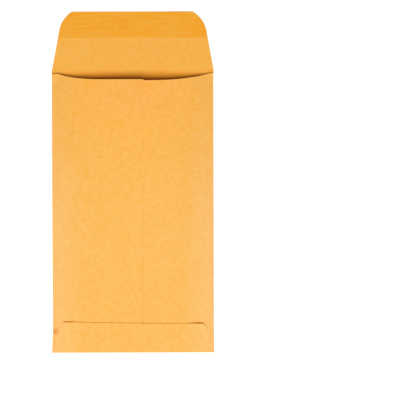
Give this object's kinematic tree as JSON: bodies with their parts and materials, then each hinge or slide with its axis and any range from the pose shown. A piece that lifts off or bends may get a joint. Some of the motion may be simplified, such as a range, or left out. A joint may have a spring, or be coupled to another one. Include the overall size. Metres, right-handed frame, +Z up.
{
  "type": "paper envelope",
  "caption": "Small open-end kraft paper envelope lying on its face, back seam up, with its gummed seal flap open and its mouth gaping.",
  "frame": {"origin": "under the middle of the whole opened envelope, in the plane of the outside of the face that it lies on", "axes": "+X to the right as the back is seen with the flap at the top, +Y along the envelope from the bottom fold to the open seal flap, +Z up, out of the back"},
  "size_m": [0.0802, 0.1685, 0.0065],
  "materials": {
    "kraft_paper": "matte",
    "dried_gum": "satin"
  },
  "bodies": {
    "root": {"envelope": "kraft_paper", "flap_gum": "dried_gum"}
  },
  "joints": []
}
